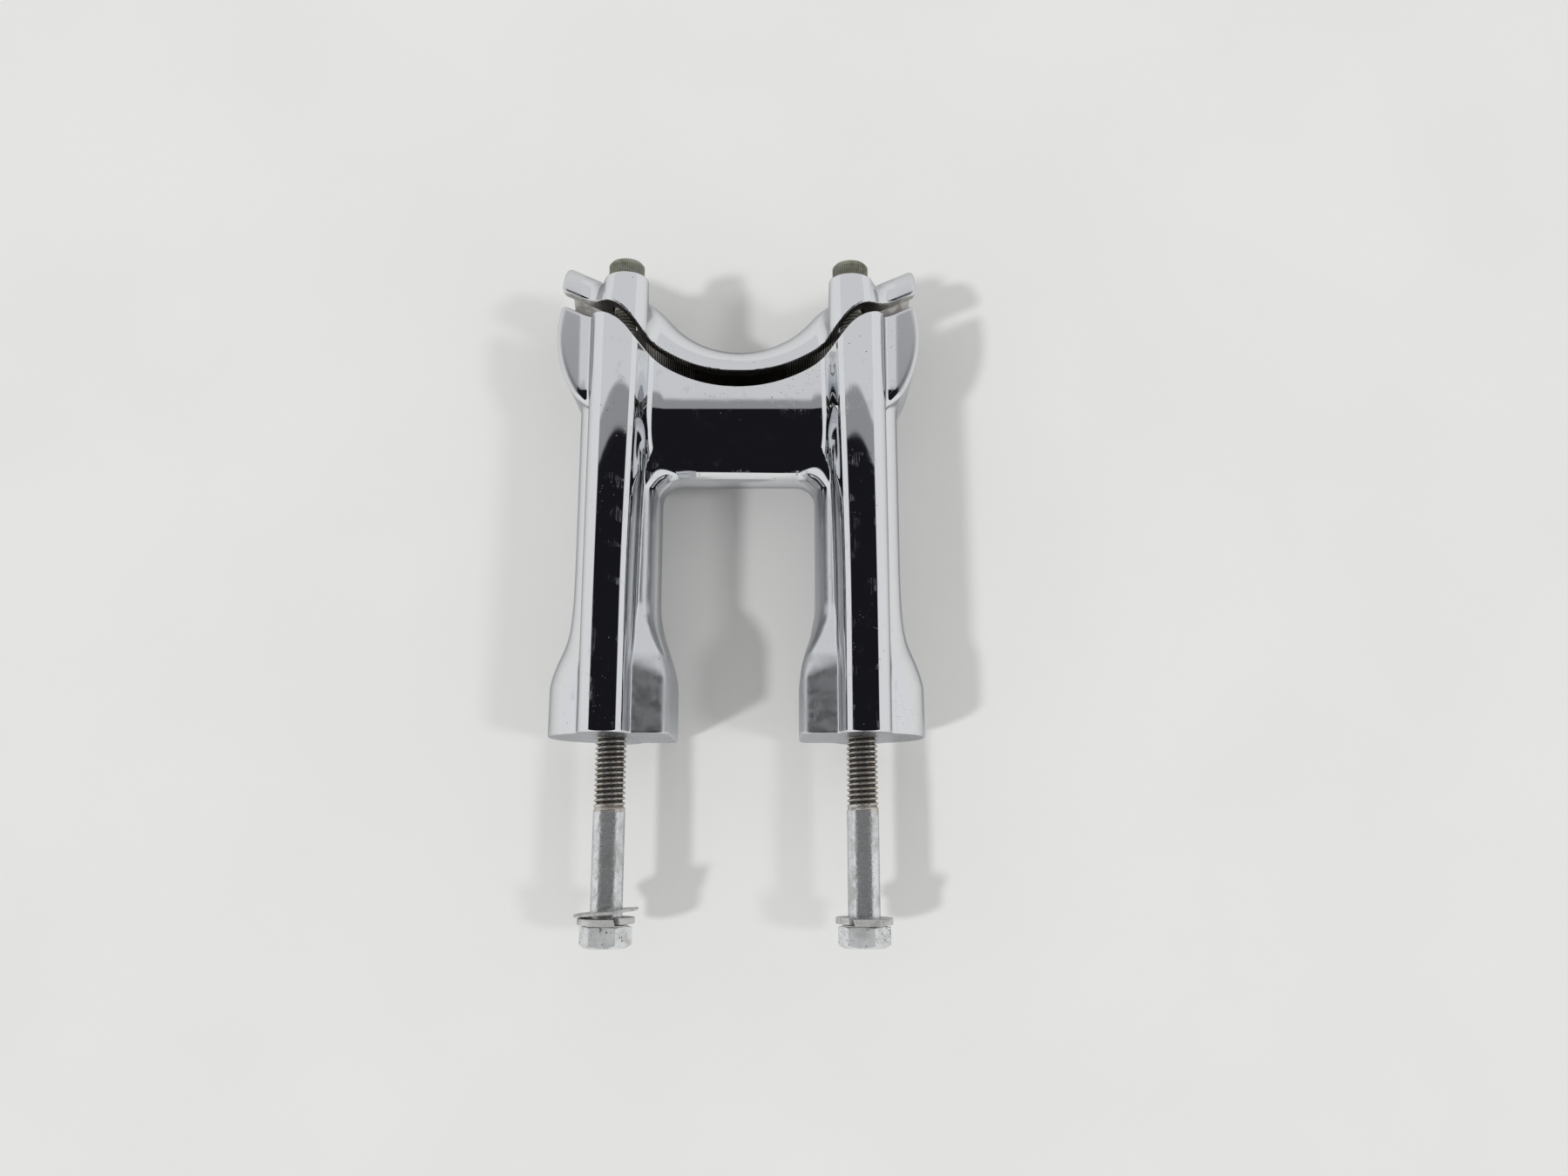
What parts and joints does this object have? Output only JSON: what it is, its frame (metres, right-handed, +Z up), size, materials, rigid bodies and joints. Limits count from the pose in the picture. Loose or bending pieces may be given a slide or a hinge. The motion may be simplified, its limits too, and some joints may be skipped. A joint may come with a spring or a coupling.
{
  "type": "handlebar riser",
  "caption": "Chromed handlebar riser with round legs joined by a web, a clamp cap over a dropped channel for the bar, socket screws, and hex bolts with washers under the feet.",
  "frame": {"origin": "on the surface the riser lies on, under the middle of its bounding box", "axes": "+X across the legs, +Y from the feet to the clamp, +Z up away from the surface it lies on, towards the front of the riser"},
  "size_m": [0.1336, 0.2506, 0.0566],
  "materials": {
    "chrome": "polished chrome plating with light scratches",
    "screw_steel": "dull weathered steel, knurled",
    "bolt_zinc": "zinc plated, a little mottled",
    "washer_steel": "dull spring steel"
  },
  "bodies": {
    "riser": {"riser_body": "chrome"},
    "cap": {"clamp_cap": "chrome"},
    "left_washers": {"lock_washer_left": "washer_steel", "flat_washer_left": "washer_steel"},
    "left_bolt": {"riser_bolt_left": "bolt_zinc"},
    "right_washers": {"lock_washer_right": "washer_steel"},
    "right_bolt": {"riser_bolt_right": "bolt_zinc"},
    "screw_front_left": {"cap_screw_front_left": "screw_steel"},
    "screw_front_right": {"cap_screw_front_right": "screw_steel"},
    "screw_rear_left": {"cap_screw_rear_left": "screw_steel"},
    "screw_rear_right": {"cap_screw_rear_right": "screw_steel"}
  },
  "joints": [
    {"name": "left_bolt_travel", "type": "slide", "parent": "riser", "child": "left_washers", "axis": [0, 1, 0], "range_m": [-0.00544, 0.02177]},
    {"name": "left_bolt_turn", "type": "hinge", "parent": "left_washers", "child": "left_bolt", "pos_m": [-0.04445, -0.11782, 0.0283], "axis": [0, 1, 0], "range_deg": [-1081, 4321]},
    {"name": "right_bolt_travel", "type": "slide", "parent": "riser", "child": "right_washers", "axis": [0, 1, 0], "range_m": [-0.00544, 0.02177]},
    {"name": "right_bolt_turn", "type": "hinge", "parent": "right_washers", "child": "right_bolt", "pos_m": [0.04445, -0.11782, 0.0283], "axis": [0, 1, 0], "range_deg": [-1081, 4321]},
    {"name": "cap_lift", "type": "slide", "parent": "riser", "child": "cap", "axis": [0, 1, 0], "range_m": [-0.00125, 0.01625]},
    {"name": "cap_screw_turn_front_left", "type": "hinge", "parent": "cap", "child": "screw_front_left", "pos_m": [-0.0412, 0.11075, 0.0468], "axis": [0, 1, 0], "range_deg": [-361, 4681]},
    {"name": "cap_screw_turn_front_right", "type": "hinge", "parent": "cap", "child": "screw_front_right", "pos_m": [0.0412, 0.11003, 0.0468], "axis": [0, 1, 0], "range_deg": [-361, 4681]},
    {"name": "cap_screw_turn_rear_left", "type": "hinge", "parent": "cap", "child": "screw_rear_left", "pos_m": [-0.0412, 0.11075, 0.0098], "axis": [0, 1, 0], "range_deg": [-361, 4681]},
    {"name": "cap_screw_turn_rear_right", "type": "hinge", "parent": "cap", "child": "screw_rear_right", "pos_m": [0.0412, 0.11003, 0.0098], "axis": [0, 1, 0], "range_deg": [-361, 4681]}
  ],
  "couplings": [
    {"joint": "left_bolt_turn", "follows": "left_bolt_travel", "rad_per_m": 3463.2},
    {"joint": "right_bolt_turn", "follows": "right_bolt_travel", "rad_per_m": 3463.2},
    {"joint": "cap_screw_turn_front_left", "follows": "cap_lift", "rad_per_m": 5026.5},
    {"joint": "cap_screw_turn_front_right", "follows": "cap_lift", "rad_per_m": 5026.5},
    {"joint": "cap_screw_turn_rear_left", "follows": "cap_lift", "rad_per_m": 5026.5},
    {"joint": "cap_screw_turn_rear_right", "follows": "cap_lift", "rad_per_m": 5026.5}
  ]
}
